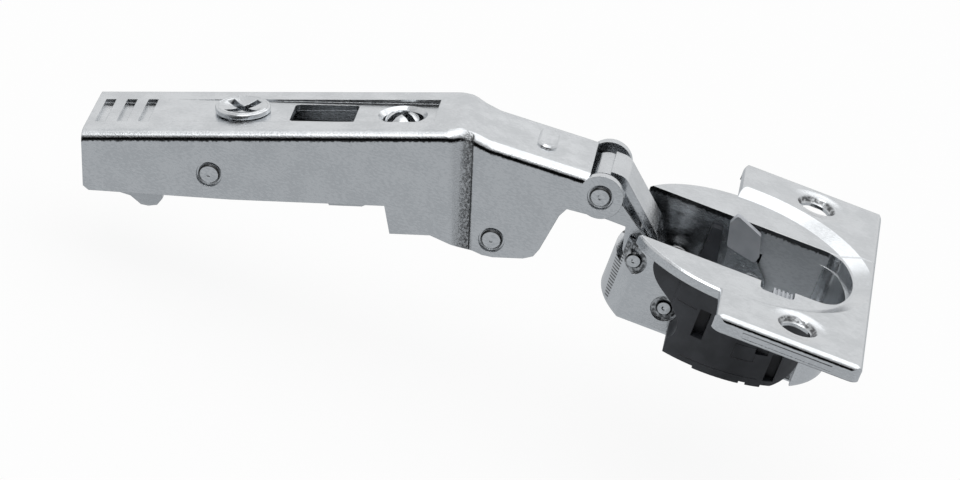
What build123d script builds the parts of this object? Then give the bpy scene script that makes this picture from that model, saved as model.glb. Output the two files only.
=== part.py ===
from build123d import *
import os
from math import cos, radians, sin

os.makedirs("parts", exist_ok=True)

# Frame: the cup centre on the door face is the origin, +Z comes out of the door,
# the arm points along -X and the screw holes lie along Y. Millimetres.

# Cup
bore_r = 17.5               # drilling in the door, 35 mm across
cup_depth = 11.7
wall = 0.9
floor_t = 0.8
trough_half = 10.3          # flat side walls that carry the pins
mouth_r = 16.9
rim_r = 18.0
ridge_r = 19.7              # top of the slope from the flange down to the mouth
mouth_corner_r = 4.0
rim_t = 1.5
shoulder_x = 12.6           # right of this the cup is as wide as the bore
link_gap_half = 6.3         # low part of the left wall, under the inner link
link_gap_z = -4.9

# Flange
flange_left = -2.3
flange_right = 19.85
flange_half = 28.7
flange_top = 2.5
flange_t = 1.3
lip_t = 1.2
lip_bend_r = 0.9
screw_x = 9.5
screw_half = 22.5           # half of the 45 mm screw spacing
screw_hole_r = 2.2
screw_dish_r = 3.05

# Linkage with the hinge fully open: pins as X, Z
open_tilt = 20.0            # arm base against the door face, 110 degrees in all
pin_a = (-14.70, -2.47)     # inner link on the cup
pin_b = (-8.08, -7.70)      # outer link on the cup
pin_c = (-22.40, 3.75)      # outer link on the arm
pin_d = (-34.74, -8.50)     # inner link on the arm
inner_swing = 164.0         # turn of the inner link from open to closed
cup_pin_r = 1.2
rivet_r = 1.6
run_gap = 0.05              # radial clearance of every turning fit
side_gap = 0.2              # beside each moving piece

# Links
strip_t = 1.2
strip_half = 4.0
outer_eye_c = 2.55
strip_rise = 3.0            # top of the strip above the arm rivet
outer_eye_b = 2.4
cheek_t = 1.2
inner_eye_a = 2.0
inner_eye_d = 2.9

# Arm
sheet = 1.3
arm_front_half = 7.4
arm_step = 1.4              # how far each side wall steps in
arm_rear_half = arm_front_half + arm_step
ear_r = 3.3
rear_rivet = (-76.4, 12.9)  # in the arm's own axes, as are the outline points
top_rear = (-95.0, 18.7)
top_crest = (-39.8, 20.85)
top_knee = (-35.6, 18.7)
top_nose = (-21.2, 14.35)
base_z = 9.1
front_base_z = 4.8
step_left = -41.2           # the side walls step in between these two
step_right = -38.4

# Sunk panel in the top of the arm
panel_left = -83.3
panel_right = -44.2
panel_half = 4.45
panel_drop = 0.7

# Adjusting screws
cam_x = -72.7
cam_head_r = 4.0
cam_head_t = 0.9
cam_neck_r = 2.4
cam_disc_r = 3.3
cam_disc_t = 1.4
cam_disc_z = 15.8
side_screw_x = -49.3
side_screw_r = 2.0
side_head_r = 2.7
side_head_z = 18.5
side_head_t = 1.3

# Dampers, one on each side of the trough
damper_y = 12.7
damper_z = -5.0
cylinder_r = 1.8
rod_r = 0.6
lever_pivot = (3.4, -7.6)
stub_r = 1.5
push_pin = (0.2, -5.0)
push_pin_r = 0.7


def to_arm(point):
    """Cup X, Z in the arm's own axes, which share the origin."""
    t = radians(open_tilt)
    x, z = point
    return (cos(t) * x + sin(t) * z, cos(t) * z - sin(t) * x)


def turned(point, centre, angle):
    """A point turned about a centre, both as X, Z."""
    t = radians(angle)
    x, z = point[0] - centre[0], point[1] - centre[1]
    return (centre[0] + cos(t) * x + sin(t) * z, centre[1] + cos(t) * z - sin(t) * x)


def top_height(x):
    """Height of the arm's long top face, in the arm's axes."""
    slope = (top_crest[1] - top_rear[1]) / (top_crest[0] - top_rear[0])
    return top_rear[1] + slope * (x - top_rear[0])


def panel_height(x):
    """Height of the sunk panel in the arm's top, which slopes into it."""
    return top_height(x) - panel_drop * (x - panel_left) / (panel_right - panel_left)


side = Plane.XZ
arm_dir = (cos(radians(open_tilt)), 0, sin(radians(open_tilt)))
arm_up = (-sin(radians(open_tilt)), 0, cos(radians(open_tilt)))
arm_side = Plane(origin=(0, 0, 0), x_dir=arm_dir, z_dir=(0, -1, 0))
arm_top = Plane(origin=(0, 0, 0), x_dir=arm_dir, z_dir=arm_up)
arm_axis = Axis((0, 0, 0), arm_up)
arm_c = to_arm(pin_c)
arm_d = to_arm(pin_d)
trough_in = trough_half - wall
cheek_out = arm_front_half - sheet - side_gap
cheek_in = cheek_out - cheek_t
cam_seat = panel_height(cam_x + cam_head_r) + run_gap


# Flange plate: flat on top, turned down into a lip at each end
with BuildPart() as flange:
    with BuildSketch(Plane.YZ.offset(flange_left)):
        Rectangle(2 * flange_half, flange_top, align=(Align.CENTER, Align.MIN))
        fillet(vertices().group_by(Axis.Y)[-1], lip_bend_r)
        Rectangle(
            2 * (flange_half - lip_t), flange_top - flange_t,
            align=(Align.CENTER, Align.MIN), mode=Mode.SUBTRACT,
        )
    extrude(amount=flange_right - flange_left)
    with BuildSketch(Plane.XZ):
        with Locations((flange_left, 0)):
            Rectangle(flange_right - flange_left, flange_top, align=(Align.MIN, Align.MIN))
        fillet(vertices().group_by(Axis.Y)[-1], 1.1)
    extrude(amount=flange_half, both=True, mode=Mode.INTERSECT)
    with BuildSketch():
        with Locations((flange_left, 0)):
            Rectangle(flange_right - flange_left, 2 * flange_half, align=(Align.MIN, Align.CENTER))
        fillet(vertices(), 1.6)
    extrude(amount=flange_top, mode=Mode.INTERSECT)

# Cup: a pressed trough with a rim, joined to the flange
with BuildPart() as cup:
    with BuildSketch(Plane.XY.offset(-cup_depth)):
        Circle(bore_r)
        with Locations((shoulder_x, trough_half), (shoulder_x, -trough_half - bore_r)):
            Rectangle(2 * bore_r, bore_r, align=(Align.MAX, Align.MIN), mode=Mode.SUBTRACT)
    extrude(amount=cup_depth)
    fillet(faces().sort_by(Axis.Z)[0].outer_wire().edges(), 0.7)
    with BuildSketch():
        Circle(rim_r)
    extrude(amount=rim_t)
    chamfer(edges().filter_by(GeomType.CIRCLE).group_by(Axis.Z)[-1], 0.3)
    add(flange.part)
    # the flange slopes down to the rim all round the mouth
    with Locations((0, 0, rim_t)):
        Cone(
            mouth_r + 0.4, ridge_r, flange_top - rim_t,
            align=(Align.CENTER, Align.CENTER, Align.MIN), mode=Mode.SUBTRACT,
        )
    # mouth and cavity
    with BuildSketch(Plane.XY.offset(floor_t - cup_depth)):
        Circle(mouth_r - 0.3)
        Rectangle(4 * mouth_r, 2 * trough_in, mode=Mode.INTERSECT)
        fillet(vertices().group_by(Axis.X)[-1], mouth_corner_r)
    extrude(amount=cup_depth, mode=Mode.SUBTRACT)
    with BuildSketch(Plane.XY.offset(-0.8)):
        Circle(mouth_r)
        Rectangle(4 * mouth_r, 2 * trough_in, mode=Mode.INTERSECT)
        with Locations((-rim_r, 0)):
            Rectangle(rim_r, 2 * trough_in, mode=Mode.ADD)
        fillet(vertices().group_by(Axis.X)[-1], mouth_corner_r)
    extrude(amount=cup_depth, mode=Mode.SUBTRACT)
    # low left wall where the inner link crosses
    with Locations((-bore_r, 0, link_gap_z)):
        Box(
            bore_r, 2 * link_gap_half, cup_depth,
            align=(Align.CENTER, Align.CENTER, Align.MIN), mode=Mode.SUBTRACT,
        )
    # dished screw holes
    with Locations((screw_x, screw_half, flange_top), (screw_x, -screw_half, flange_top)):
        CounterSinkHole(screw_hole_r, screw_dish_r, depth=cup_depth, counter_sink_angle=90)
    # pin holes with a shallow dish outside
    for pin in (pin_a, pin_b):
        with BuildSketch(side):
            with Locations(pin):
                Circle(cup_pin_r)
        extrude(amount=2 * bore_r, both=True, mode=Mode.SUBTRACT)
        for s in (1, -1):
            with BuildSketch(side.offset(s * trough_half)):
                with Locations(pin):
                    Circle(cup_pin_r + 0.75)
            extrude(amount=-s * 0.45, mode=Mode.SUBTRACT)
    # slots for the lever pins and stub holes
    for s in (1, -1):
        with Locations((push_pin[0] + 1.3, s * trough_half, damper_z + 0.7)):
            Box(4.4, 3 * wall, 3.4, mode=Mode.SUBTRACT)
    with BuildSketch(side):
        with Locations(lever_pivot):
            Circle(stub_r)
    extrude(amount=trough_half + wall, both=True, mode=Mode.SUBTRACT)
    # notch for the switch
    with BuildSketch(Plane.XY.offset(-1.2)):
        with Locations((3.4, -trough_in + 0.5)):
            Rectangle(5.2, 3.4, align=(Align.MIN, Align.MAX))
        fillet(vertices().group_by(Axis.Y)[0], 1.0)
    extrude(amount=flange_top + 1.2, mode=Mode.SUBTRACT)
cup.part.label = "cup"
export_step(cup.part, "parts/cup.step")

def save(solid, name):
    """Label one piece and write it."""
    solid.label = name
    export_step(solid, "parts/" + name + ".step")


def save_pair(solid, name):
    """Write a piece of the front side and its mirror image at the rear."""
    save(solid, "front_" + name)
    save(mirror(solid, about=Plane.XZ), "rear_" + name)


# Pins pressed through both walls of the trough
for name, point in (("inner_link_pin", pin_a), ("outer_link_pin", pin_b)):
    with BuildPart() as cup_pin:
        with BuildSketch(side):
            with Locations(point):
                Circle(cup_pin_r)
        extrude(amount=trough_half - 0.1, both=True)
        chamfer(edges().filter_by(GeomType.CIRCLE), 0.25)
    save(cup_pin.part, name)

# Damper housing: a moulding that fills the bore beside the flat wall
housing_floor = 0.35 - cup_depth
below = -cup_depth - 1
end_x = shoulder_x - 3.6    # the rounded end starts here on the bottom
end_z = 4.2 - cup_depth
with BuildPart() as housing:
    with BuildSketch(Plane.XY.offset(housing_floor)):
        Circle(bore_r)
        with Locations((shoulder_x - 0.1, -trough_half - 0.05)):
            Rectangle(2 * bore_r, bore_r, align=(Align.MAX, Align.MAX), mode=Mode.INTERSECT)
    extrude(amount=-housing_floor - 0.05)
    # two feet under it, level with the bottom of the cup
    with BuildSketch(Plane.XY.offset(-cup_depth)):
        Circle(bore_r)
        with Locations((1.8, -bore_r), (9.8, -bore_r)):
            Rectangle(7.0, 4.4, mode=Mode.INTERSECT)
    extrude(amount=0.4)
    # the left end steps back from the two pins, the right end is rounded below
    with BuildSketch(side):
        with BuildLine():
            Polyline((-12.0, -1.2), (-12.0, 1), (-20, 1), (-20, below), (-6.3, below), (-6.6, -9.4))
            Spline((-6.6, -9.4), (-5.9, -6.6), (-7.7, -4.4), (-10.9, -2.7), (-12.0, -1.2))
        make_face()
        with BuildLine():
            Polyline((shoulder_x, end_z), (shoulder_x, -cup_depth), (end_x, -cup_depth))
            RadiusArc((end_x, -cup_depth), (shoulder_x, end_z), -5.0)
        make_face()
    extrude(amount=bore_r + 1, mode=Mode.SUBTRACT)
    # thinner flap at the left
    with BuildSketch(Plane.XY.offset(-cup_depth)):
        Circle(bore_r + 1)
        Circle(bore_r - 0.5, mode=Mode.SUBTRACT)
        with Locations((-7.7, -bore_r)):
            Rectangle(bore_r, 2 * bore_r, align=(Align.MAX, Align.CENTER), mode=Mode.INTERSECT)
    extrude(amount=cup_depth, mode=Mode.SUBTRACT)
    # bore for the cylinder, open to the trough for the push pin
    with BuildSketch(Plane.YZ.offset(-1.4)):
        with Locations((-damper_y, damper_z)):
            Circle(cylinder_r + run_gap)
    extrude(amount=9.6, mode=Mode.SUBTRACT)
    with Locations((push_pin[0] + 1.0, -trough_half, damper_z + 0.7)):
        Box(4.4, 5.6, 3.6, mode=Mode.SUBTRACT)
    # bay for the foot of the switch
    with Locations((6.1, -trough_half - 1.5, 0)):
        Box(6.4, 3.4, 2.6, mode=Mode.SUBTRACT)
    # window and moulded pockets in the round face
    with Locations((-2.8, -bore_r, -4.9)):
        Box(1.7, 5.0, 4.4, mode=Mode.SUBTRACT)
    with Locations((6.9, -bore_r + 0.9, -5.9)):
        Box(1.9, 2.4, 1.3, mode=Mode.SUBTRACT)
    with Locations((9.3, -bore_r + 2.6, -8.4)):
        Box(1.5, 3.4, 4.4, mode=Mode.SUBTRACT)
save_pair(housing.part, "damper_housing")

# Damper: a cylinder closed at its right end and a rod pushed into it
rod_start = push_pin[0] + push_pin_r + run_gap
with BuildPart() as cylinder:
    with BuildSketch(Plane.YZ.offset(3.8)):
        with Locations((-damper_y, damper_z)):
            Circle(cylinder_r)
            Circle(rod_r + run_gap, mode=Mode.SUBTRACT)
    extrude(amount=3.7)
    with BuildSketch(Plane.YZ.offset(7.5)):
        with Locations((-damper_y, damper_z)):
            Circle(cylinder_r)
    extrude(amount=0.6)
save_pair(cylinder.part, "damper_cylinder")
with BuildPart() as rod:
    with BuildSketch(Plane.YZ.offset(rod_start)):
        with Locations((-damper_y, damper_z)):
            Circle(1.5)
    extrude(amount=0.7)
    with BuildSketch(Plane.YZ.offset(rod_start)):
        with Locations((-damper_y, damper_z)):
            Circle(rod_r)
    extrude(amount=4.9)
save_pair(rod.part, "damper_rod")

# Lever beside each wall: it turns on a stub and its pin pushes the rod
lever_out = trough_in - 0.25
lever_in = lever_out - 0.8
shoe_t = 1.25
guide_t = 1.35
with BuildPart() as stub:
    with BuildSketch(side.offset(lever_in - 0.45)):
        with Locations(lever_pivot):
            Circle(stub_r)
    extrude(amount=trough_half - lever_in + 0.35)
    with BuildSketch(side.offset(lever_in - 0.45)):
        with Locations(lever_pivot):
            Circle(stub_r + 0.6)
    extrude(amount=0.4)
save_pair(stub.part, "lever_stub")
with BuildPart() as lever:
    with BuildSketch(side.offset(lever_in)):
        with BuildLine():
            Polyline((-1.7, 0.5), (1.8, 0.0), (3.0, -3.4), (5.4, -6.0), (1.3, -8.7), (-1.3, -5.5), close=True)
        make_face()
        with Locations(lever_pivot):
            Circle(2.5)
            Circle(stub_r + run_gap, mode=Mode.SUBTRACT)
    extrude(amount=lever_out - lever_in)
    with BuildSketch(side.offset(lever_in)):
        with Locations(push_pin):
            Circle(push_pin_r)
    extrude(amount=damper_y - lever_in)
save_pair(lever.part, "damper_lever")

# Plastic shoe on the rear lever
with BuildPart() as shoe:
    with BuildSketch(side.offset(-lever_out)):
        with BuildLine():
            Polyline(
                (-2.6, 0.9), (-1.9, 2.4), (2.4, 0.6), (3.3, -2.5), (3.0, -3.7), (-1.75, -2.7),
                close=True,
            )
        make_face()
        fillet(vertices(), 0.5)
    extrude(amount=shoe_t)
    with BuildSketch(side.offset(-lever_out)):
        with BuildLine():
            Polyline((-1.7, 0.5), (1.8, 0.0), (3.0, -3.4), (4.2, -4.7), (-1.4, -4.7), close=True)
        make_face()
    extrude(amount=lever_out - lever_in, mode=Mode.SUBTRACT)
save(shoe.part, "lever_shoe")

# Dark guide beside the lever, on the rear wall
with BuildPart() as guide:
    with BuildSketch(side.offset(-trough_in)):
        with BuildLine():
            Polyline(
                (-4.8, -0.7), (-3.1, -0.7), (-2.9, -2.6), (-2.2, -5.5), (-2.4, -8.8), (-4.8, -8.8),
                close=True,
            )
        make_face()
    extrude(amount=guide_t)
    fillet(edges().filter_by(Axis.Y), 0.4)
save(guide.part, "lever_guide")

# Switch that takes the damping out, in the notch of the front edge
with BuildPart() as switch:
    with Locations((6.9, -10.75, 0.15)):
        Box(2.9, 2.4, 2.2)
    with Locations((6.75, -11.35, -0.6)):
        Box(3.4, 3.2, 0.9)
    for i in range(4):
        with Locations((5.95 + 0.65 * i, -10.75, 1.25)):
            Box(0.3, 2.4, 0.5, mode=Mode.SUBTRACT)
save(switch.part, "damper_switch")

# Closing springs: a coil on the outer link's pin beside each cheek
wire_r = 0.35
coil_r = cup_pin_r + 0.15 + wire_r
with BuildPart() as spring:
    with BuildLine() as coil:
        Helix(pitch=0.8, height=2.4, radius=coil_r, center=(pin_b[0], -6.5, pin_b[1]), direction=side.z_dir)
    with BuildSketch(Plane(origin=coil.line @ 0, z_dir=coil.line % 0)):
        RegularPolygon(wire_r, 6)
    sweep(path=coil.line, is_frenet=True)
    with BuildSketch(Plane(origin=coil.line @ 0, z_dir=(-1, 0, 0))):
        RegularPolygon(wire_r, 6)
    extrude(amount=3.2)
    with BuildSketch(Plane(origin=coil.line @ 1, z_dir=(1, 0, 0))):
        RegularPolygon(wire_r, 6)
    extrude(amount=2.2)
springs = Compound([spring.part, mirror(spring.part, about=Plane.XZ)])
save(springs, "closing_springs")

# Outer link: one strip, rolled into an eye round each pin
with BuildPart() as outer_link:
    with BuildSketch(side):
        with BuildLine():
            top_z = pin_c[1] + strip_rise - strip_t / 2
            low_x = pin_b[0] - outer_eye_b + strip_t / 2
            FilletPolyline(
                (pin_c[0] + 0.3, top_z), (-20.2, top_z), (-13.0, -0.4), (low_x, pin_b[1]),
                radius=1.6,
            )
        trace(line_width=strip_t)
        with Locations(pin_c):
            Circle(outer_eye_c)
            Circle(rivet_r + run_gap, mode=Mode.SUBTRACT)
        with Locations(pin_b):
            Circle(outer_eye_b)
            Circle(cup_pin_r + run_gap, mode=Mode.SUBTRACT)
    extrude(amount=strip_half, both=True)
save(outer_link.part, "outer_link")

# Inner link: two cheeks joined by a web near each end
bite = turned(pin_b, pin_a, -inner_swing)
with BuildPart() as inner_link:
    with BuildSketch(side):
        with BuildLine():
            Polyline(
                (-17.4, 0.3), (-25.6, 0.3), (-27.6, -1.6), (-32.2, -9.5), (-37.2, -6.9), (-30.0, 2.6),
                (-24.4, 3.3), (-20.9, 3.9), (-18.9, 3.2), (-13.2, -1.0), (-14.0, -4.2), (-16.6, -3.2),
                close=True,
            )
        make_face()
        with Locations(pin_a):
            Circle(inner_eye_a)
            Circle(cup_pin_r + run_gap, mode=Mode.SUBTRACT)
        with Locations(pin_d):
            Circle(inner_eye_d)
            Circle(rivet_r, mode=Mode.SUBTRACT)
        # room for the arm rivet, and for the other cup pin when closed
        with Locations(pin_c):
            Circle(rivet_r + 0.25, mode=Mode.SUBTRACT)
        with Locations(bite):
            Circle(cup_pin_r + 0.2, mode=Mode.SUBTRACT)
    extrude(amount=cheek_out, both=True)
    with Locations((-25, 0, -3)):
        Box(60, 2 * cheek_in, 40, mode=Mode.SUBTRACT)
    with BuildSketch(side):
        with BuildLine():
            Polyline((-18.8, 1.5), (-18.0, 2.4), (-15.9, 0.75), (-16.7, -0.2), close=True)
        make_face()
        with BuildLine():
            Polyline((-27.6, -1.6), (-31.0, -7.4), (-32.1, -6.9), (-28.6, -1.0), close=True)
        make_face()
    extrude(amount=cheek_in, both=True)
save(inner_link.part, "inner_link")

# Axle in the inner link's front eyes; the arm carries only its heads
with BuildPart() as axle:
    with BuildSketch(side):
        with Locations(pin_d):
            Circle(rivet_r)
    extrude(amount=cheek_out, both=True)
save(axle.part, "inner_link_axle")

# Arm shell: a folded sheet, wide behind and narrow at the links
arm_side_points = (
    top_rear, top_crest, top_knee, top_nose, (-22.6, 12.6), (-24.6, 9.2), (-25.7, 8.1), (-28.6, 2.7),
    (-29.5, 1.6), (-31.0, 1.2), (-35.4, 1.2), (-37.0, 1.5), (-41.4, 3.5), (-44.3, front_base_z),
    (-50.2, front_base_z), (-50.9, base_z), (-73.4, base_z), (-94.2, base_z + 0.6), (-95.0, base_z + 1.3),
)


def plan(rear_half, front_half):
    """Plan outline that steps in where the arm narrows, drawn on the arm's top plane."""
    rear_end = top_rear[0] - 4
    with BuildSketch(arm_top) as outline:
        with Locations((-10, 0)):
            Rectangle(90, 2 * front_half, align=(Align.MAX, Align.CENTER))
        with BuildLine():
            Polyline(
                (rear_end, -rear_half), (step_left, -rear_half), (step_right, -front_half),
                (step_right, front_half),
                (step_left, rear_half), (rear_end, rear_half), close=True,
            )
        make_face()
        fillet([v for v in vertices() if abs(v.X - step_left) < 0.01], 2.0)
        fillet([v for v in vertices() if abs(v.X - step_right) < 0.01], 0.8)
    return outline.sketch


with BuildPart() as arm_room:
    with BuildSketch(arm_side):
        with BuildLine():
            Polyline(
                (-93.7, 0), (-93.7, top_height(-93.7) - sheet), (top_crest[0] - 0.4, top_crest[1] - sheet),
                (top_knee[0] - 0.3, top_knee[1] - sheet), (-21.3, top_nose[1] - sheet + 0.1), (-21.3, 30),
                (-10, 30), (-10, 0), close=True,
            )
        make_face()
    extrude(amount=arm_rear_half, both=True)
    extrude(plan(arm_rear_half - sheet, arm_front_half - sheet), amount=40, mode=Mode.INTERSECT)

knee_point = arm_side.from_local_coords(top_knee)
nose_dir = (arm_side.from_local_coords(top_nose) - knee_point).normalized()
bump_plane = Plane(origin=knee_point + nose_dir * 7.8, x_dir=nose_dir, z_dir=nose_dir.cross(Vector(0, 1, 0)))
with BuildPart() as arm:
    with BuildSketch(arm_side):
        with BuildLine():
            Polyline(*arm_side_points, close=True)
        make_face()
        fillet([v for v in vertices() if (v.X, v.Y) in (top_crest, top_knee)], 3)
    extrude(amount=arm_rear_half, both=True)
    extrude(plan(arm_rear_half, arm_front_half), amount=40, mode=Mode.INTERSECT)
    # rounded folds along the top
    tops = [f for f in faces() if f.normal_at().dot(Vector(*arm_up)) > 0.85]
    folds = [e for f in tops for e in f.edges() if abs(e.tangent_at(0.5).Y) < 0.9 and e.length > 0.5]
    fillet(folds, 1.6)
    add(arm_room.part, mode=Mode.SUBTRACT)
    # ears that carry the outer link's rivet
    for s in (1, -1):
        with BuildSketch(arm_side.offset(s * arm_front_half)):
            with BuildLine():
                Polyline(
                    (-27, 9.8), (-24.6, 9.2), (-20.4, 8.2), arm_c, (-22.4, 13.0), (-27, 12.6),
                    close=True,
                )
            make_face()
            with Locations(arm_c):
                Circle(ear_r)
        extrude(amount=-s * sheet)
    # low stamped bump across the sloping front
    with BuildSketch(bump_plane):
        with Locations((0, 0.9)):
            SlotOverall(6.8, 2.9, rotation=90)
    extrude(amount=0.5)
    bump_face = faces().filter_by(
        lambda f: abs(f.area - 18) < 3 and f.normal_at().dot(bump_plane.z_dir) > 0.99
    )
    chamfer(bump_face.edges(), 0.3)
    # slot for the latch in the rear wall
    with BuildSketch(arm_side):
        with Locations((-95.5, 0)):
            Rectangle(3, 16.5, align=(Align.MIN, Align.MIN))
    extrude(amount=5.95, both=True, mode=Mode.SUBTRACT)
    # finger grooves, sunk panel and window in the top
    with BuildSketch(arm_side):
        for i in range(3):
            x = -93.0 + 3.15 * i
            with Locations((x, top_height(x))):
                Rectangle(1.5, 1.2)
        with BuildLine():
            Polyline(
                (panel_left, top_height(panel_left)), (panel_right, panel_height(panel_right)),
                (panel_right, 30), (panel_left, 30), close=True,
            )
        make_face()
    extrude(amount=panel_half, both=True, mode=Mode.SUBTRACT)
    with BuildSketch(arm_top.offset(15)):
        with Locations((-60.7, 0)):
            RectangleRounded(9.4, 6.6, 0.5)
        with Locations((cam_x, 0)):
            Circle(cam_neck_r + run_gap)
        with Locations((side_screw_x, 0)):
            Circle(side_head_r + 0.15)
    extrude(amount=10, mode=Mode.SUBTRACT)
    with Locations(arm_top.offset(top_height(side_screw_x) - 1.5) * Location((side_screw_x, 0, 0))):
        Cone(side_head_r, 4.2, 1.5, align=(Align.CENTER, Align.CENTER, Align.MIN), mode=Mode.SUBTRACT)
    # rivet holes, each with a shallow countersink
    with BuildSketch(arm_side):
        with Locations(arm_c, arm_d, rear_rivet):
            Circle(rivet_r)
    extrude(amount=arm_rear_half + 1, both=True, mode=Mode.SUBTRACT)
    for s in (1, -1):
        for hole, half in ((arm_c, arm_front_half), (arm_d, arm_front_half), (rear_rivet, arm_rear_half)):
            with BuildSketch(arm_side.offset(s * half)):
                with Locations(hole):
                    Circle(rivet_r + 0.3)
            extrude(amount=-s * 0.5, mode=Mode.SUBTRACT)
save(arm.part, "arm")


# Rivets of the arm; the front lower one is two short heads, with the axle between
with BuildPart() as link_rivet:
    with BuildSketch(arm_side):
        with Locations(arm_c):
            Circle(rivet_r)
    extrude(amount=arm_front_half - 0.05, both=True)
save(link_rivet.part, "outer_link_rivet")
with BuildPart() as axle_heads:
    for s in (1, -1):
        with BuildSketch(arm_side.offset(s * (arm_front_half - sheet))):
            with Locations(arm_d):
                Circle(rivet_r)
        extrude(amount=s * (sheet - 0.05))
save(axle_heads.part, "inner_link_rivet_heads")
with BuildPart() as latch_rivet:
    with BuildSketch(arm_side):
        with Locations(rear_rivet):
            Circle(rivet_r)
    extrude(amount=arm_rear_half - 0.05, both=True)
save(latch_rivet.part, "rear_rivet")

# Clip carrier: the channel inside the arm that takes the mounting plate
carrier_half = arm_rear_half - sheet - 0.3
carrier_t = 1.1
carrier_top = 15.4
with BuildPart() as carrier:
    with BuildSketch(arm_side):
        with BuildLine():
            Polyline(
                (-81.0, 10.2), (-81.0, 14.4), (-79.5, carrier_top), (-44.6, carrier_top), (-44.6, 4.3),
                (-49.3, 4.3), (-49.6, 8.4), (-53.6, 8.6), (-54.4, 8.2), (-59.2, 8.2), (-59.8, 9.5),
                (-80.2, 9.7), close=True,
            )
        make_face()
        with Locations(rear_rivet):
            Circle(rivet_r + run_gap, mode=Mode.SUBTRACT)
    extrude(amount=carrier_half, both=True)
    with BuildSketch(arm_side):
        with Locations((-73.0, carrier_top - carrier_t)):
            Rectangle(60, 40, align=(Align.MIN, Align.MAX))
        with Locations((-73.0, 0)):
            Rectangle(60, 60, align=(Align.MAX, Align.CENTER))
    extrude(amount=carrier_half - carrier_t, both=True, mode=Mode.SUBTRACT)
    with BuildSketch(arm_top):
        with Locations((side_screw_x, 0)):
            Circle(side_screw_r + 0.3)
    extrude(amount=20, mode=Mode.SUBTRACT)
save(carrier.part, "clip_carrier")

# Latch: two cheeks and a web, with the hook below and the release tab behind
latch_half = carrier_half - carrier_t - 0.2
latch_t = 1.1
latch_wire_r = 0.35
with BuildPart() as latch:
    with BuildSketch(arm_side):
        with BuildLine():
            Polyline(
                (-76.4, 15.2), (-92.8, 14.6), (-95.4, 12.3), (-95.4, 10.6), (-94.4, 9.9), (-91.0, 9.6),
                (-90.6, 8.5), (-88.6, 7.9), (-87.1, 6.6), (-86.0, 6.4), (-84.7, 6.6), (-83.9, 7.6),
                (-84.3, 9.4), (-76.4, 10.6), close=True,
            )
        make_face()
        with Locations(rear_rivet):
            Circle(2.7)
            Circle(rivet_r + run_gap, mode=Mode.SUBTRACT)
    extrude(amount=latch_half, both=True)
    with BuildSketch(arm_side):
        with BuildLine():
            Polyline(
                (-60, 0), (-94.0, 0), (-94.0, 12.4), (-92.3, 13.5), (-80.5, 13.5), (-80.5, 20), (-60, 20),
                close=True,
            )
        make_face()
    extrude(amount=latch_half - latch_t, both=True, mode=Mode.SUBTRACT)
save(latch.part, "clip_latch")

# Cross slots for a driver
def cross_recess(centre_x, top, size):
    """Outline of a cross slot with round ends, on a head at the given height."""
    with BuildSketch(arm_top.offset(top)) as slots:
        with Locations((centre_x, 0)):
            SlotOverall(size, size * 0.24)
            SlotOverall(size, size * 0.24, rotation=90)
    return slots.sketch


# Depth cam: flat head on the arm, eccentric disc inside
with BuildPart() as cam:
    with BuildSketch(arm_top.offset(cam_seat)):
        with Locations((cam_x, 0)):
            Circle(cam_head_r)
    extrude(amount=cam_head_t)
    chamfer(faces().sort_by(arm_axis)[-1].edges(), 0.2)
    with BuildSketch(arm_top.offset(cam_disc_z)):
        with Locations((cam_x, 0)):
            Circle(cam_neck_r)
    extrude(amount=cam_seat - cam_disc_z)
    with BuildSketch(arm_top.offset(cam_disc_z)):
        with Locations((cam_x + 0.6, 0)):
            Circle(cam_disc_r)
    extrude(amount=cam_disc_t)
    extrude(cross_recess(cam_x, cam_seat + cam_head_t, 3.9), amount=-1.8, mode=Mode.SUBTRACT)
save(cam.part, "depth_cam_screw")

# Side screw: domed head in the arm, thread in the carrier
with BuildPart() as side_screw:
    with BuildSketch(arm_top.offset(carrier_top - 2.6)):
        with Locations((side_screw_x, 0)):
            Circle(side_screw_r)
    extrude(amount=side_head_z - carrier_top + 2.6)
    with BuildSketch(arm_top.offset(side_head_z)):
        with Locations((side_screw_x, 0)):
            Circle(side_head_r)
    extrude(amount=side_head_t)
    chamfer(faces().sort_by(arm_axis)[-1].edges(), 0.4)
    extrude(cross_recess(side_screw_x, side_head_z + side_head_t, 3.4), amount=-1.0, mode=Mode.SUBTRACT)
save(side_screw.part, "side_adjust_screw")

# Latch return spring round the rear rivet
spring_start = arm_side.offset(-1.5).from_local_coords(rear_rivet)
with BuildPart() as latch_spring:
    with BuildLine() as turns:
        Helix(
            pitch=0.75, height=3.0, radius=rivet_r + 0.2 + latch_wire_r,
            center=spring_start, direction=side.z_dir,
        )
    with BuildSketch(Plane(origin=turns.line @ 0, z_dir=turns.line % 0)):
        RegularPolygon(latch_wire_r, 6)
    sweep(path=turns.line, is_frenet=True)
save(latch_spring.part, "latch_spring")
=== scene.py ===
import math

import bmesh
import bpy
from mathutils import Matrix, Vector


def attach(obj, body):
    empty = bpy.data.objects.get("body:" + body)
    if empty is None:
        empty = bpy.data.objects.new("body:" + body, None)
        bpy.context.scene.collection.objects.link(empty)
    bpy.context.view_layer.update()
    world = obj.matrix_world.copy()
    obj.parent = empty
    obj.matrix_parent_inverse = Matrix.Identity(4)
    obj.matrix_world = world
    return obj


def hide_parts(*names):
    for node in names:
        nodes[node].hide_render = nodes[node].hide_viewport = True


# Lengths are in metres, apart from the adjusting screws, which are in
# millimetres. The frame is the part's own: the cup centre on the door face is
# the origin, +Z comes out of the cup and the arm points along -X.

ARM_TILT = math.radians(20)  # the arm slopes down away from the cup
ARM_COS, ARM_SIN = math.cos(ARM_TILT), math.sin(ARM_TILT)
ARM_UP = (-ARM_SIN, 0, ARM_COS)
X_AXIS, Y_AXIS, Z_AXIS = (1, 0, 0), (0, 1, 0), (0, 0, 1)
ACROSS_Y, ACROSS_Z = (1, 0, 1), (1, 1, 0)

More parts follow.
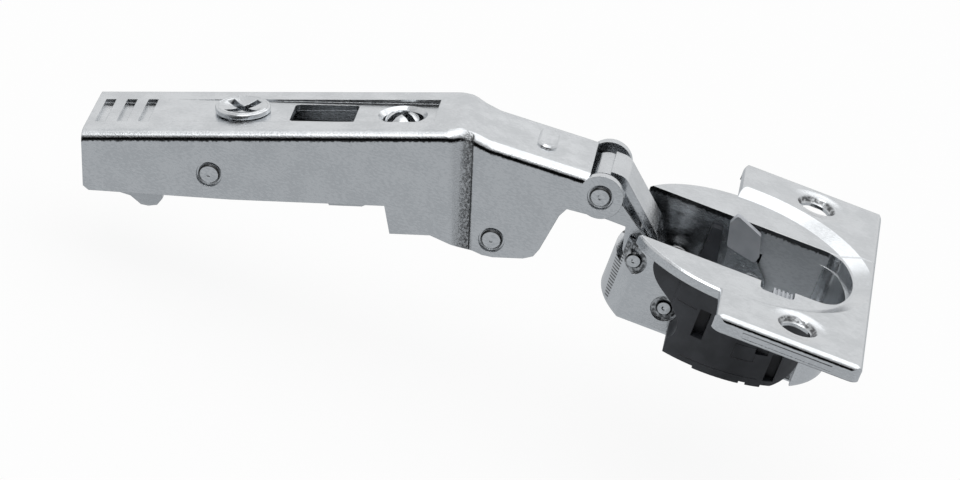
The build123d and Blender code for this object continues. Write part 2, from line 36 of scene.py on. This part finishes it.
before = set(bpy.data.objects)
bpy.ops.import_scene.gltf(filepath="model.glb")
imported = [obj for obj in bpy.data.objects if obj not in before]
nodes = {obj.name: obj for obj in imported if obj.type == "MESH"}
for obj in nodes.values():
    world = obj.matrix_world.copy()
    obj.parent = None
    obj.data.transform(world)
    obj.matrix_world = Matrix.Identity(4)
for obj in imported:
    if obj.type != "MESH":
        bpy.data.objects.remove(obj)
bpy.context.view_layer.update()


# Shader nodes

def new_material(name):
    """A new material with its node tree and its Principled shader."""
    material = bpy.data.materials.new(name)
    material.use_nodes = True
    tree = material.node_tree
    return material, tree, tree.nodes["Principled BSDF"]


def link(tree, source, target):
    tree.links.new(source, target)


def add_node(tree, kind, **inputs):
    """A shader node with some of its input sockets set by name."""
    node = tree.nodes.new(kind)
    for name, value in inputs.items():
        node.inputs[name.replace("_", " ")].default_value = value
    return node


def texture_coords(tree, kind):
    """Texture coordinates of one kind, such as Object or Normal."""
    return tree.nodes.new("ShaderNodeTexCoord").outputs[kind]


def object_coords(tree, stretch=(1, 1, 1), tilt=0.0):
    """Object coordinates, turned about Y by a tilt and stretched."""
    mapping = add_node(tree, "ShaderNodeMapping", Rotation=(0, tilt, 0), Scale=stretch)
    link(tree, texture_coords(tree, "Object"), mapping.inputs["Vector"])
    return mapping.outputs["Vector"]


def noise(tree, vector, scale, detail):
    """Soft random pattern from 0 to 1."""
    node = add_node(tree, "ShaderNodeTexNoise", Scale=scale, Detail=detail)
    link(tree, vector, node.inputs["Vector"])
    return node.outputs["Fac"]


def remap(tree, value, low, high):
    """A 0 to 1 value mapped onto low to high."""
    node = add_node(tree, "ShaderNodeMapRange", To_Min=low, To_Max=high)
    link(tree, value, node.inputs["Value"])
    return node.outputs["Result"]


def smooth_step(tree, value, low, high, out_low=0.0, out_high=1.0):
    """A smooth change from out_low, where the value is low, to out_high, where it is high."""
    node = add_node(tree, "ShaderNodeMapRange", From_Min=low, From_Max=high, To_Min=out_low, To_Max=out_high)
    node.interpolation_type = "SMOOTHSTEP"
    link(tree, value, node.inputs["Value"])
    return node.outputs["Result"]


def ramp(tree, value, low_colour, high_colour, low=0.35, high=0.65):
    """A blend from one colour, where the value is low, to another, where it is high."""
    node = tree.nodes.new("ShaderNodeValToRGB")
    node.color_ramp.elements[0].position = low
    node.color_ramp.elements[1].position = high
    node.color_ramp.elements[0].color = (*low_colour, 1)
    node.color_ramp.elements[1].color = (*high_colour, 1)
    link(tree, value, node.inputs["Fac"])
    return node.outputs["Color"]


def rounded_edges(tree, radius):
    """Normals that make sharp edges look rounded."""
    node = add_node(tree, "ShaderNodeBevel", Radius=radius)
    node.samples = 6
    return node.outputs["Normal"]


def bump(tree, height, distance, normal):
    """Normals changed by a height pattern, whose full height is the distance."""
    node = add_node(tree, "ShaderNodeBump", Strength=1.0, Distance=distance)
    link(tree, height, node.inputs["Height"])
    link(tree, normal, node.inputs["Normal"])
    return node.outputs["Normal"]


def combine(tree, operation, first, second=0.0):
    """A math node; a float is a constant and anything else is another node's output."""
    node = tree.nodes.new("ShaderNodeMath")
    node.operation = operation
    for socket, value in zip(node.inputs, (first, second)):
        if isinstance(value, float):
            socket.default_value = value
        else:
            link(tree, value, socket)
    return node.outputs[0]


def product(tree, first, *others):
    for other in others:
        first = combine(tree, "MULTIPLY", first, other)
    return first


def largest(tree, first, *others):
    for other in others:
        first = combine(tree, "MAXIMUM", first, other)
    return first


def vector_math(tree, operation, vector, constant):
    """The outputs of a vector operation on a node's output and a constant vector."""
    node = tree.nodes.new("ShaderNodeVectorMath")
    node.operation = operation
    node.inputs[1].default_value = constant
    link(tree, vector, node.inputs[0])
    return node.outputs


# Places on the surface, and masks from 0 to 1

def along(tree, direction):
    """Distance of a surface point from the origin in one direction."""
    return vector_math(tree, "DOT_PRODUCT", texture_coords(tree, "Object"), direction)["Value"]


def off_middle(tree):
    """Distance of a surface point from the hinge's middle plane, on either side."""
    return combine(tree, "ABSOLUTE", along(tree, Y_AXIS))


def from_axis(tree, centre, keep):
    """Distance of a surface point from an axis: keep is 1 across the axis and 0 along it."""
    flat = vector_math(tree, "MULTIPLY", texture_coords(tree, "Object"), keep)["Vector"]
    flat_centre = [c * k for c, k in zip(centre, keep)]
    return vector_math(tree, "DISTANCE", flat, flat_centre)["Value"]


def facing(tree, direction):
    """How far the surface faces one direction of its own object, from -1 to 1."""
    return vector_math(tree, "DOT_PRODUCT", texture_coords(tree, "Normal"), direction)["Value"]


def facing_sides(tree):
    """How far the surface faces either side, from 0 to 1."""
    return combine(tree, "ABSOLUTE", facing(tree, Y_AXIS))


def band(tree, value, low, high, soft):
    """1 between low and high, with soft sides."""
    rise = smooth_step(tree, value, low - soft, low + soft)
    fall = smooth_step(tree, value, high + soft, high - soft)
    return product(tree, rise, fall)


def side_patch(tree, range_x, range_z):
    """Upright rectangle; each range is a low end, a high end and how soft both are."""
    return product(tree, band(tree, along(tree, Z_AXIS), *range_z), band(tree, along(tree, X_AXIS), *range_x))


def node_centre(name):
    """Middle of a CAD node's box."""
    return sum((Vector(corner) for corner in nodes[name].bound_box), Vector()) / 8


# Marks on the arm

ARM_WALL = 0.0066  # the walls that step in are farther out than this
FOLD_PLACE = -0.0390  # of the dark line, along the arm
FOLD_LEAN = -0.045  # of that line, along the arm for each unit of height
FOLD_DIRECTION = (ARM_COS - FOLD_LEAN * ARM_SIN, 0, ARM_SIN + FOLD_LEAN * ARM_COS)


def fold_shade_and_grain(tree):
    """Painted shade: a mottled band in the crease where the arm's side walls step in, darkest along a line at
    its front; rough_fold also uses it as a height pattern.
    """
    place = along(tree, FOLD_DIRECTION)
    beside = smooth_step(tree, off_middle(tree), ARM_WALL - 0.0002, ARM_WALL + 0.0002)
    rise = smooth_step(tree, place, FOLD_PLACE - 0.0020, FOLD_PLACE - 0.0002, 0.0, 0.75)
    stop = smooth_step(tree, place, FOLD_PLACE + 0.00025, FOLD_PLACE + 0.0001)
    line = band(tree, place, FOLD_PLACE - 0.0001, FOLD_PLACE + 0.0001, 0.0001)
    mottle = smooth_step(tree, noise(tree, object_coords(tree), 2600.0, 3.0), 0.4, 0.6, 0.25, 1.0)
    return product(tree, largest(tree, product(tree, rise, stop, mottle), line), beside)


def rough_fold(tree):
    """Uneven height of the same band."""
    return product(tree, fold_shade_and_grain(tree), noise(tree, object_coords(tree), 2400.0, 3.0))


def bend_dark_reflection(tree, up):
    """Painted dark reflection: a mottled dark line along the outer foot of a fold."""
    ragged = remap(tree, noise(tree, object_coords(tree), 2200.0, 2.0), -0.10, 0.10)
    turned = combine(tree, "ADD", facing(tree, up), ragged)
    outward = smooth_step(tree, facing_sides(tree), 0.80, 0.86)
    return product(tree, band(tree, turned, 0.14, 0.42, 0.04), outward)


def arm_painted_shade(tree):
    """Painted shade on the arm: the mottled band in the crease and the painted dark reflections along the
    bends.
    """
    return largest(tree, fold_shade_and_grain(tree), bend_dark_reflection(tree, ARM_UP))


# Marks on the cup

SCREW_HOLES = [(0.0095, side, 0) for side in (0.0225, -0.0225)]
CUP_PINS = ("inner_link_pin", "outer_link_pin")
RING_STRENGTH = 0.9
LIP_BEND = 0.0270  # the lips turn down outside this
LIP_FACE = 0.0285  # the lips' outer faces are outside this
RIB_PITCH = 0.00046
RIB_LEAN = 0.2
LEFT_END = -0.0145


def screw_dimples(tree):
    """The sheet dips softly round both screw holes."""
    dips = [smooth_step(tree, from_axis(tree, hole, ACROSS_Z), 0.0026, 0.0052) for hole in SCREW_HOLES]
    return product(tree, *dips)


def lip_panel(tree):
    """Shallow pressed panel along the middle of each lip."""
    outside = smooth_step(tree, off_middle(tree), LIP_FACE - 0.0001, LIP_FACE + 0.0001)
    return product(tree, side_patch(tree, (0.0022, 0.0156, 0.0001), (0.0004, 0.0012, 0.0001)), outside)


def end_rib_shade(tree):
    """Painted shade: fine dark lines for the ribs across the cup's rounded left end, on both sides of the
    middle.
    """
    phase = combine(tree, "MULTIPLY", along(tree, (0, RIB_LEAN, 1)), math.tau / RIB_PITCH)
    rib_shade = smooth_step(tree, combine(tree, "SINE", phase), -0.2, 0.6, 0.1, 0.95)
    left = smooth_step(tree, along(tree, X_AXIS), LEFT_END, LEFT_END - 0.0005)
    width, height = off_middle(tree), along(tree, Z_AXIS)
    inner_side = combine(tree, "ADD", width, combine(tree, "MULTIPLY", height, 0.30))
    inside = smooth_step(tree, inner_side, 0.0022, 0.0026)
    outside = smooth_step(tree, width, 0.0072, 0.0070)
    return product(tree, rib_shade, left, inside, outside, band(tree, height, -0.0108, -0.0018, 0.0002))


def ring_shade(tree, centre, keep, inner, outer):
    """Painted shade in a cloudy ring between two radii, as in the bottom of a recess."""
    ring = band(tree, from_axis(tree, centre, keep), inner, outer, 0.00012)
    cloud = smooth_step(tree, noise(tree, object_coords(tree), 1800.0, 2.0), 0.35, 0.6, 0.35, 1.0)
    return product(tree, ring, cloud, RING_STRENGTH)


def rear_wall(tree):
    """The flat rear wall of the trough."""
    return band(tree, along(tree, Y_AXIS), 0.0092, 0.0096, 0.0001)


def mouth_edge_shadow(tree):
    """Painted shadow along the top of the rear wall, at the rear of the cup's mouth, with a ragged lower
    edge.
    """
    ragged = remap(tree, noise(tree, object_coords(tree), 2400.0, 2.0), -0.0004, 0.0004)
    height = combine(tree, "ADD", along(tree, Z_AXIS), ragged)
    high = smooth_step(tree, height, 0.0006, 0.0009, 0.0, 0.95)
    facing_front = smooth_step(tree, facing(tree, (0, -1, 0)), 0.5, 0.8)
    return product(tree, rear_wall(tree), high, facing_front)


def rear_dull(tree):
    """The half of the rear wall that is away from the arm is rougher than the rest of the sheet."""
    return product(tree, rear_wall(tree), smooth_step(tree, along(tree, X_AXIS), 0.0015, 0.0035))


def bore_shade(tree):
    """Cloudy painted shade deep inside the arm end of the cup."""
    rear_half = smooth_step(tree, along(tree, Y_AXIS), 0.0015, 0.0030)
    bore = smooth_step(tree, from_axis(tree, (0, 0, 0), ACROSS_Z), 0.0170, 0.0166)
    deep = smooth_step(tree, along(tree, Z_AXIS), -0.0004, -0.0012)
    arm_end = smooth_step(tree, along(tree, X_AXIS), 0.0000, -0.0030, 0.0, 0.8)
    cloud = smooth_step(tree, noise(tree, object_coords(tree), 420.0, 4.0), 0.3, 0.65, 0.35, 1.0)
    return product(tree, rear_half, bore, deep, arm_end, cloud)


def cup_painted_shade(tree):
    """Painted shade on the cup: ribs, recesses, dishes, the mouth's edge, dark reflections along the lips'
    bends and the bore.
    """
    recesses = [ring_shade(tree, node_centre(pin), ACROSS_Y, 0.00115, 0.00190) for pin in CUP_PINS]
    dishes = [ring_shade(tree, hole, ACROSS_Z, 0.00235, 0.00290) for hole in SCREW_HOLES]
    beside = smooth_step(tree, off_middle(tree), LIP_BEND, LIP_BEND + 0.0005)
    lip_dark_reflections = product(tree, bend_dark_reflection(tree, Z_AXIS), beside)
    return largest(tree, end_rib_shade(tree), *recesses, *dishes, mouth_edge_shadow(tree), lip_dark_reflections, bore_shade(tree))


# Marks on the rivets and the damper housings

def rivet_face(centre, radius):
    """A peened rivet end: a flat disc with a bevelled rim and a small dent."""
    def mark(tree):
        span = from_axis(tree, centre, ACROSS_Y)
        disc = smooth_step(tree, span, radius * 0.98, radius * 0.78)
        dent = smooth_step(tree, span, radius * 0.1, radius * 0.32, 0.75, 1.0)
        return product(tree, disc, dent)
    return mark


def rivet_shade(centre, radius):
    """Dark crescent over the upper rim of a rivet end."""
    def shade(tree):
        low = (centre[0], centre[1], centre[2] - radius * 0.15)
        rim = smooth_step(tree, from_axis(tree, centre, ACROSS_Y), radius * 1.02, radius * 0.97)
        above = smooth_step(tree, from_axis(tree, low, ACROSS_Y), radius * 0.86, radius * 0.92)
        return product(tree, rim, above)
    return shade


def moulded_lines(tree):
    """Fine parting lines and a shallow frame on the damper housings."""
    upper_line = side_patch(tree, (-0.0073, -0.0042, 0.0001), (-0.00312, -0.00304, 0.00005))
    lower_line = side_patch(tree, (-0.0041, 0.0078, 0.0001), (-0.01062, -0.01050, 0.00005))
    frame_inside = side_patch(tree, (0.0029, 0.0061, 0.00004), (-0.0079, -0.0058, 0.00004))
    frame_outside = side_patch(tree, (0.0028, 0.0062, 0.00004), (-0.0080, -0.0057, 0.00004))
    return largest(tree, upper_line, lower_line, combine(tree, "SUBTRACT", frame_outside, frame_inside))


# Materials

PAINTED_SHADE_DARKNESS = 0.09  # of the dark colour, where the painted shade is full
DULL_ROUGHNESS = 0.3  # added where the plating is dull
RIVET_DARK, RIVET_LIGHT = (0.56, 0.58, 0.60), (0.68, 0.70, 0.72)
RIVET_ENDS = {
    "rear_rivet": 0.0016, "outer_link_rivet": 0.0016, "inner_link_rivet_heads": 0.0016,
    "inner_link_pin": 0.0012, "outer_link_pin": 0.0012,
}


def brushed(tree, tilt):
    """Fine speckle drawn out along the sheet, centred on zero."""
    fine = noise(tree, object_coords(tree, (1600, 4200, 4200), tilt), 1.0, 2.0)
    strength = smooth_step(tree, facing_sides(tree), 0.3, 0.8, 0.7, 1.8)
    return product(tree, combine(tree, "SUBTRACT", fine, 0.5), strength)


def with_painted_shade(tree, colour, painted_shade, dark):
    """A colour with painted shade mixed in, as a darker copy of the dark colour."""
    mix = tree.nodes.new("ShaderNodeMix")
    mix.data_type = "RGBA"
    mix.inputs["B"].default_value = [c * PAINTED_SHADE_DARKNESS for c in dark] + [1]
    link(tree, painted_shade, mix.inputs["Factor"])
    link(tree, colour, mix.inputs["A"])
    return mix.outputs["Result"]


def steel(name, dark, light, rough, tilt=0.0, edge=0.00012, grain=1.0, marks=(), painted_shade=None, dull=None):
    """Plated sheet steel: faint rolling lines, a soft orange peel and cloudy gloss.

    marks are pairs of a height pattern and its depth; the next argument is a pattern of painted shade
    that darkens the plating, and dull is one that roughens it.
    """
    material, tree, shader = new_material(name)
    shader.inputs["Metallic"].default_value = 1.0
    plain = object_coords(tree)
    lines = noise(tree, object_coords(tree, (400, 6000, 6000), tilt), 1.0, 3.0)
    clouds = combine(tree, "ADD", noise(tree, plain, 260.0, 3.0), brushed(tree, tilt))
    peel = noise(tree, plain, 3600.0, 2.0)
    pits = noise(tree, plain, 9000.0, 1.0)
    colour = ramp(tree, clouds, dark, light)
    if painted_shade:
        colour = with_painted_shade(tree, colour, painted_shade(tree), dark)
    link(tree, colour, shader.inputs["Base Color"])
    gloss = remap(tree, clouds, rough - 0.05, rough + 0.07)
    if dull:
        gloss = combine(tree, "ADD", gloss, combine(tree, "MULTIPLY", dull(tree), DULL_ROUGHNESS))
    link(tree, gloss, shader.inputs["Roughness"])
    normal = rounded_edges(tree, edge)
    for pattern, depth in ((lines, 0.000004), (peel, 0.000012), (pits, 0.000006)):
        normal = bump(tree, pattern, depth * grain, normal)
    for pattern, depth in marks:
        normal = bump(tree, pattern(tree), depth, normal)
    link(tree, normal, shader.inputs["Normal"])
    return material


def plastic(name, dark, light, rough, grain=0.00001, lines=None):
    """Moulded plastic with a fine spark-eroded grain; lines is a height pattern."""
    material, tree, shader = new_material(name)
    plain = object_coords(tree)
    clouds = noise(tree, plain, 400.0, 3.0)
    spark = noise(tree, plain, 9000.0, 2.0)
    link(tree, ramp(tree, clouds, dark, light), shader.inputs["Base Color"])
    link(tree, remap(tree, spark, rough - 0.06, rough + 0.08), shader.inputs["Roughness"])
    normal = rounded_edges(tree, 0.0001)
    if lines:
        normal = bump(tree, lines(tree), 0.0002, normal)
    link(tree, bump(tree, spark, grain, normal), shader.inputs["Normal"])
    shader.inputs["Specular IOR Level"].default_value = 0.45
    return material


def coat(mesh, material):
    """Give a mesh one material in place of its own."""
    mesh.materials.clear()
    mesh.materials.append(material)


# the cup's and the arm's steel and the rivet ends have painted shade mixed into their colour
cup_steel = steel(
    "cup_steel", (0.595, 0.615, 0.635), (0.665, 0.685, 0.705), 0.16,
    marks=[(screw_dimples, 0.0003), (lip_panel, -0.00003)], painted_shade=cup_painted_shade, dull=rear_dull,
)
arm_steel = steel(
    "arm_steel", (0.585, 0.605, 0.625), (0.68, 0.70, 0.72), 0.20, ARM_TILT, grain=1.3,
    marks=[(rough_fold, 0.0002)], painted_shade=arm_painted_shade,
)
link_steel = steel("link_steel", (0.56, 0.58, 0.60), (0.63, 0.65, 0.67), 0.17)
inner_steel = steel("inner_steel", (0.52, 0.54, 0.56), (0.59, 0.61, 0.63), 0.22, ARM_TILT)
rivet_steel = steel("rivet_steel", RIVET_DARK, RIVET_LIGHT, 0.17, edge=0.0002)
for name, radius in RIVET_ENDS.items():
    centre = node_centre(name)
    coat(nodes[name].data, steel(
        f"{name}_steel", RIVET_DARK, RIVET_LIGHT, 0.17,
        marks=[(rivet_face(centre, radius), 0.00025)], painted_shade=rivet_shade(centre, radius),
    ))
screw_steel = steel("screw_steel", (0.60, 0.62, 0.64), (0.68, 0.70, 0.72), 0.16, edge=0.0002)
wire_steel = steel("wire_steel", (0.40, 0.405, 0.41), (0.52, 0.525, 0.53), 0.22)
dark_plastic = plastic(
    "dark_plastic", (0.028, 0.031, 0.037), (0.042, 0.046, 0.054), 0.42, lines=moulded_lines,
)
damper_plastic = plastic("damper_plastic", (0.10, 0.10, 0.105), (0.14, 0.14, 0.145), 0.25, 0.000004)
grey_plastic = plastic("grey_plastic", (0.35, 0.37, 0.40), (0.42, 0.44, 0.47), 0.45)

finishes = {
    cup_steel: ["cup"],
    arm_steel: ["arm"],
    link_steel: ["outer_link", "inner_link"],
    inner_steel: ["clip_carrier", "clip_latch", "front_damper_lever", "rear_damper_lever"],
    rivet_steel: [
        "inner_link_axle", "front_lever_stub", "rear_lever_stub", "front_damper_rod", "rear_damper_rod",
    ],
    wire_steel: ["closing_springs", "latch_spring"],
    dark_plastic: ["front_damper_housing", "rear_damper_housing", "lever_guide"],
    damper_plastic: ["front_damper_cylinder", "rear_damper_cylinder"],
    grey_plastic: ["lever_shoe", "damper_switch"],
}
for material, names in finishes.items():
    for name in names:
        coat(nodes[name].data, material)


# Adjusting screws, with a dished head and a deep cross recess

SMOOTH_UP_TO = math.radians(28)
CAM_X, CAM_TOP = -72.7, 20.41
CAM_DISC_TOP, CAM_DISC_FOOT = 17.2, 15.8
SIDE_X, SIDE_TOP, SIDE_FOOT = -49.3, 20.3, 12.8


def arm_point(x, y, z):
    """A point in the arm's own axes, in millimetres, as a point of the frame in metres."""
    return Vector((ARM_COS * x - ARM_SIN * z, y, ARM_SIN * x + ARM_COS * z)) / 1000


def finish_mesh(name, build):
    """The built mesh as an object of the scene."""
    mesh = bpy.data.meshes.new(name)
    build.to_mesh(mesh)
    build.free()
    piece = bpy.data.objects.new(name, mesh)
    bpy.context.collection.objects.link(piece)
    return piece


def turned_shape(name, centre_x, profile, segments=96):
    """A solid of revolution about an upright axis of the arm.

    profile is pairs of a radius and a height, from top to bottom.
    """
    build = bmesh.new()
    angles = [math.tau * i / segments for i in range(segments)]
    rings = []
    for radius, height in profile:
        turns = angles if radius else [0.0]
        rings.append([
            build.verts.new(arm_point(centre_x + radius * math.cos(a), radius * math.sin(a), height))
            for a in turns
        ])
    for upper, lower in zip(rings, rings[1:]):
        for i in range(segments):
            j = (i + 1) % segments
            corners = [
                upper[i % len(upper)], lower[i % len(lower)], lower[j % len(lower)], upper[j % len(upper)],
            ]
            build.faces.new(dict.fromkeys(corners))
    bmesh.ops.recalc_face_normals(build, faces=build.faces)
    return finish_mesh(name, build)


def cross_tool(centre_x, top, length, width, depth):
    """Two crossed wedges, turned 45 degrees to the arm, that cut a driver's recess."""
    build = bmesh.new()
    above = (top + 1, length / 2, width / 2)
    below = (top - depth, length * 0.38, width * 0.4)
    for turn in (math.pi / 4, -math.pi / 4):
        c, s = math.cos(turn), math.sin(turn)
        levels = []
        for height, half, side in (above, below):
            corners = [(-half, -side), (half, -side), (half, side), (-half, side)]
            levels.append([
                build.verts.new(arm_point(centre_x + c * x - s * y, s * x + c * y, height))
                for x, y in corners
            ])
        upper, lower = levels
        build.faces.new(upper)
        build.faces.new(lower[::-1])
        for i in range(4):
            j = (i + 1) % 4
            build.faces.new((upper[i], lower[i], lower[j], upper[j]))
    bmesh.ops.recalc_face_normals(build, faces=build.faces)
    return finish_mesh("cross_tool", build)


def cut(piece, tool):
    """The tool's shape is cut out of the piece and the tool is removed."""
    change = piece.modifiers.new("cut", "BOOLEAN")
    change.object = tool
    change.solver = "EXACT"
    change.use_self = True
    mesh = bpy.data.meshes.new_from_object(piece.evaluated_get(bpy.context.evaluated_depsgraph_get()))
    piece.modifiers.clear()
    piece.data = mesh
    bpy.data.objects.remove(tool)


def dress(piece, material, body, node):
    """Smooth shading, material, and the body and CAD node that the piece belongs to."""
    piece.data.polygons.foreach_set("use_smooth", [True] * len(piece.data.polygons))
    piece.data.set_sharp_from_angle(angle=SMOOTH_UP_TO)
    coat(piece.data, material)
    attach(piece, body)
    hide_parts(node)


cam = turned_shape("depth_cam_head", CAM_X, [
    (0, CAM_TOP - 0.55), (1.6, CAM_TOP - 0.42), (2.8, CAM_TOP - 0.15), (3.2, CAM_TOP), (3.55, CAM_TOP),
    (3.62, CAM_TOP - 0.12), (3.72, CAM_TOP - 0.02), (3.92, CAM_TOP - 0.05), (4.05, CAM_TOP - 0.2),
    (4.05, CAM_TOP - 0.75), (3.95, CAM_TOP - 0.88), (2.4, CAM_TOP - 0.9),
    (2.4, CAM_DISC_TOP), (3.3, CAM_DISC_TOP), (3.3, CAM_DISC_FOOT), (0, CAM_DISC_FOOT),
])
cut(cam, cross_tool(CAM_X, CAM_TOP, length=6.6, width=1.35, depth=1.9))
dress(cam, screw_steel, "depth_cam", "depth_cam_screw")

side_screw = turned_shape("side_screw_head", SIDE_X, [
    (0, SIDE_TOP), (0.9, SIDE_TOP - 0.06), (1.7, SIDE_TOP - 0.3), (2.3, SIDE_TOP - 0.75),
    (2.65, SIDE_TOP - 1.3), (2.7, SIDE_TOP - 1.6), (2.65, SIDE_TOP - 1.78), (2.0, SIDE_TOP - 1.8),
    (2.0, SIDE_FOOT), (0, SIDE_FOOT),
])
cut(side_screw, cross_tool(SIDE_X, SIDE_TOP, length=6.4, width=1.25, depth=2.6))
dress(side_screw, screw_steel, "side_screw", "side_adjust_screw")


# Camera

CAMERA_PLACE = (-0.05468, -0.66846, 0.28107)
CAMERA_RIGHT = (0.93459, 0.12083, 0.33459)
CAMERA_BACK = (-0.02552, -0.91536, 0.40183)


def place_camera():
    """The photograph's view: a long lens from the front, rolled with the hinge."""
    data = bpy.data.cameras.new("camera")
    data.sensor_width = 36.0
    data.lens = 187.5
    data.clip_start = 0.01
    data.clip_end = 20.0
    camera = bpy.data.objects.new("camera", data)
    bpy.context.collection.objects.link(camera)
    right = Vector(CAMERA_RIGHT).normalized()
    back = Vector(CAMERA_BACK).normalized()
    up = back.cross(right).normalized()
    turn = Matrix((right, up, back)).transposed()
    camera.matrix_world = Matrix.Translation(CAMERA_PLACE) @ turn.to_4x4()
    bpy.context.scene.camera = camera


place_camera()


# Floor, light and background

FLOOR_HEIGHT, FLOOR_HALF = -0.034, 3.0
DARK_SPOT = (0.035, -0.05, FLOOR_HEIGHT)
LIGHT_TARGET = (-0.03, 0, 0)


def area_light(name, place, size, power):
    """A rectangular light that points at the hinge."""
    data = bpy.data.lights.new(name, "AREA")
    data.shape = "RECTANGLE"
    data.size, data.size_y = size
    data.energy = power
    lamp = bpy.data.objects.new(name, data)
    bpy.context.collection.objects.link(lamp)
    lamp.location = place
    lamp.rotation_euler = (Vector(LIGHT_TARGET) - Vector(place)).to_track_quat("-Z", "Y").to_euler()


def mix_shaders(tree, factor, first, second):
    """A mix of two shaders' outputs, where a factor of 0 gives the first."""
    mix = tree.nodes.new("ShaderNodeMixShader")
    for socket, source in zip(mix.inputs, (factor, first, second)):
        link(tree, source, socket)
    return mix.outputs[0]


def floor_material():
    """White to the camera, grey in reflections and matt for everything else."""
    material, tree, shader = new_material("floor")
    tree.nodes.remove(shader)
    paths = tree.nodes.new("ShaderNodeLightPath")
    matt = add_node(tree, "ShaderNodeBsdfDiffuse", Color=(0.8, 0.8, 0.8, 1))
    white = add_node(tree, "ShaderNodeEmission", Color=(1, 1, 1, 1), Strength=1.0)
    mirrored = add_node(tree, "ShaderNodeEmission", Color=(0.55, 0.565, 0.58, 1))
    # in reflections the floor has a painted shadow, a dark spot in front of the cup
    span = vector_math(tree, "DISTANCE", texture_coords(tree, "Object"), DARK_SPOT)["Value"]
    link(tree, smooth_step(tree, span, 0.025, 0.045, 0.12, 1.0), mirrored.inputs["Strength"])
    seen = combine(tree, "MULTIPLY", paths.outputs["Is Camera Ray"], 0.9)
    surface = mix_shaders(tree, seen, matt.outputs[0], white.outputs[0])
    surface = mix_shaders(tree, paths.outputs["Is Glossy Ray"], surface, mirrored.outputs[0])
    link(tree, surface, tree.nodes["Material Output"].inputs["Surface"])
    return material


def make_floor():
    """A wide square under the hinge."""
    mesh = bpy.data.meshes.new("floor")
    corners = [(-1, -1), (1, -1), (1, 1), (-1, 1)]
    mesh.from_pydata([(x * FLOOR_HALF, y * FLOOR_HALF, FLOOR_HEIGHT) for x, y in corners], [], [(0, 1, 2, 3)])
    floor = bpy.data.objects.new("floor", mesh)
    bpy.context.collection.objects.link(floor)
    mesh.materials.append(floor_material())


def make_world():
    """White to the camera; for the rest a tent that is bright above and behind, with a dark gap in front."""
    world = bpy.data.worlds.new("studio")
    bpy.context.scene.world = world
    world.use_nodes = True
    tree = world.node_tree
    camera_ray = tree.nodes.new("ShaderNodeLightPath").outputs["Is Camera Ray"]
    split = tree.nodes.new("ShaderNodeSeparateXYZ")
    link(tree, texture_coords(tree, "Generated"), split.inputs[0])
    depth, height = split.outputs["Y"], split.outputs["Z"]
    tent = smooth_step(tree, depth, -0.9, 0.7, 0.5, 0.87)
    # dark gap: in front, from just under the horizon up to below the overhead panel
    front = smooth_step(tree, depth, -0.25, -0.55)
    low = smooth_step(tree, height, -0.12, 0.0)
    high = smooth_step(tree, height, 0.62, 0.45)
    open_part = combine(tree, "SUBTRACT", 1.0, product(tree, low, high, front, 0.98))
    # overhead panel, on all sides
    panel = smooth_step(tree, height, 0.80, 0.90, 0.0, 0.9)
    total = combine(tree, "ADD", product(tree, tent, open_part), panel)
    background = tree.nodes["Background"]
    background.inputs["Color"].default_value = (1, 1, 1, 1)
    unseen = product(tree, total, combine(tree, "SUBTRACT", 1.0, camera_ray))
    link(tree, combine(tree, "ADD", unseen, camera_ray), background.inputs["Strength"])


make_floor()
make_world()
area_light("key", (-0.35, -0.5, 0.9), (0.6, 0.5), 1.5)
area_light("back", (0.1, 0.7, 0.75), (1.0, 0.4), 1.0)
bpy.context.scene.view_settings.view_transform = "Standard"
